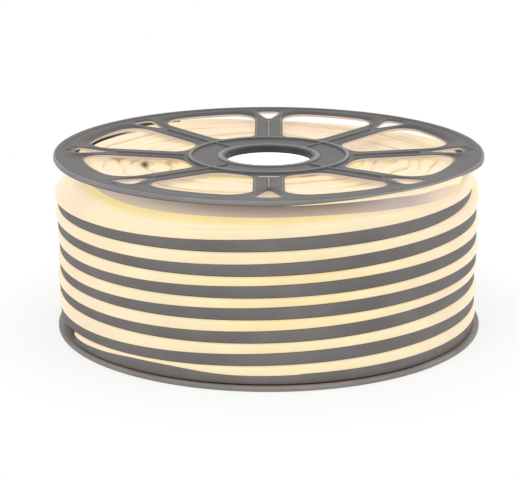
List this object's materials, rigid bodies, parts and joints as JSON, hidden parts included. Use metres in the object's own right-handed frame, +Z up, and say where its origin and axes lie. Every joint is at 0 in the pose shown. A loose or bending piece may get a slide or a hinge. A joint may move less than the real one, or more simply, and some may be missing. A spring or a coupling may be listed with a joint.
{
  "type": "neon flex strip reel",
  "caption": "Full reel of warm white neon flex strip, wound in layers on a core tube between spoked plastic flanges, shown lit.",
  "frame": {"origin": "on the reel's axis at the crest of the lower flange, where the reel stands", "axes": "+Z up along the reel's axis; the hub slots lie towards -Y"},
  "size_m": [0.32, 0.32, 0.134],
  "materials": {
    "flange_plastic": "moulded grey, fine satin",
    "core_plastic": "plain white tube",
    "channel_vinyl": "extruded grey, soft satin",
    "lit_diffuser": "milky, lit warm white from inside"
  },
  "bodies": {
    "root": {"lower_flange": "flange_plastic", "upper_flange": "flange_plastic", "core_tube": "core_plastic", "strip_channel": "channel_vinyl", "strip_diffuser": "lit_diffuser"}
  },
  "joints": []
}
